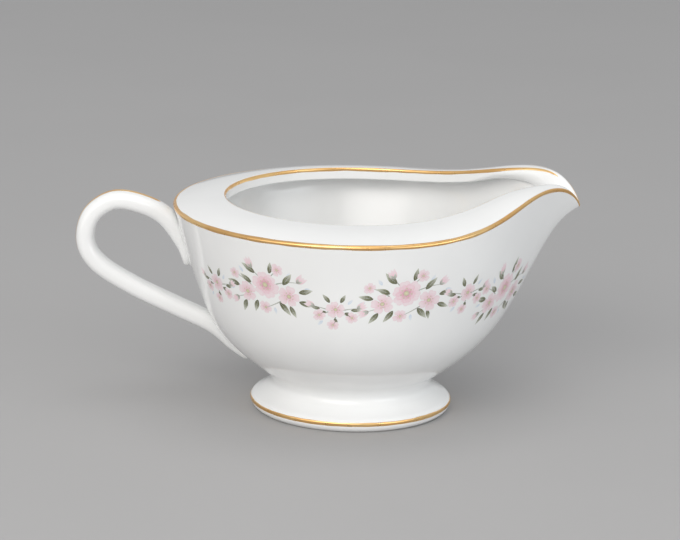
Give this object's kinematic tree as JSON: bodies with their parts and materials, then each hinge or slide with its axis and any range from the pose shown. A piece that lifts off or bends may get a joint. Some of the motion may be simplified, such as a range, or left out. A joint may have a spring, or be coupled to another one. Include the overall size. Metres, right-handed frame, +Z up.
{
  "type": "cream jug",
  "caption": "White porcelain cream jug on a pedestal foot, with a broad shoulder, a pouring spout, a loop handle, gilt lines and sprays of pink flowers.",
  "frame": {"origin": "centre of the foot's ring, on the surface the jug stands on", "axes": "+X from the handle to the spout, +Y to the far side with the spout at the right, +Z up"},
  "size_m": [0.1597, 0.1152, 0.0765],
  "materials": {
    "porcelain": "gloss glaze",
    "slip": "gloss glaze",
    "gilt": "fired gold line"
  },
  "bodies": {
    "root": {"bowl": "porcelain", "pedestal_foot": "porcelain", "foot_lute": "slip", "handle": "porcelain", "handle_upper_lute": "slip", "handle_lower_lute": "slip", "rim_gilt_line": "gilt", "mouth_gilt_line": "gilt", "foot_gilt_line": "gilt", "handle_gilt_line": "gilt"}
  },
  "joints": []
}
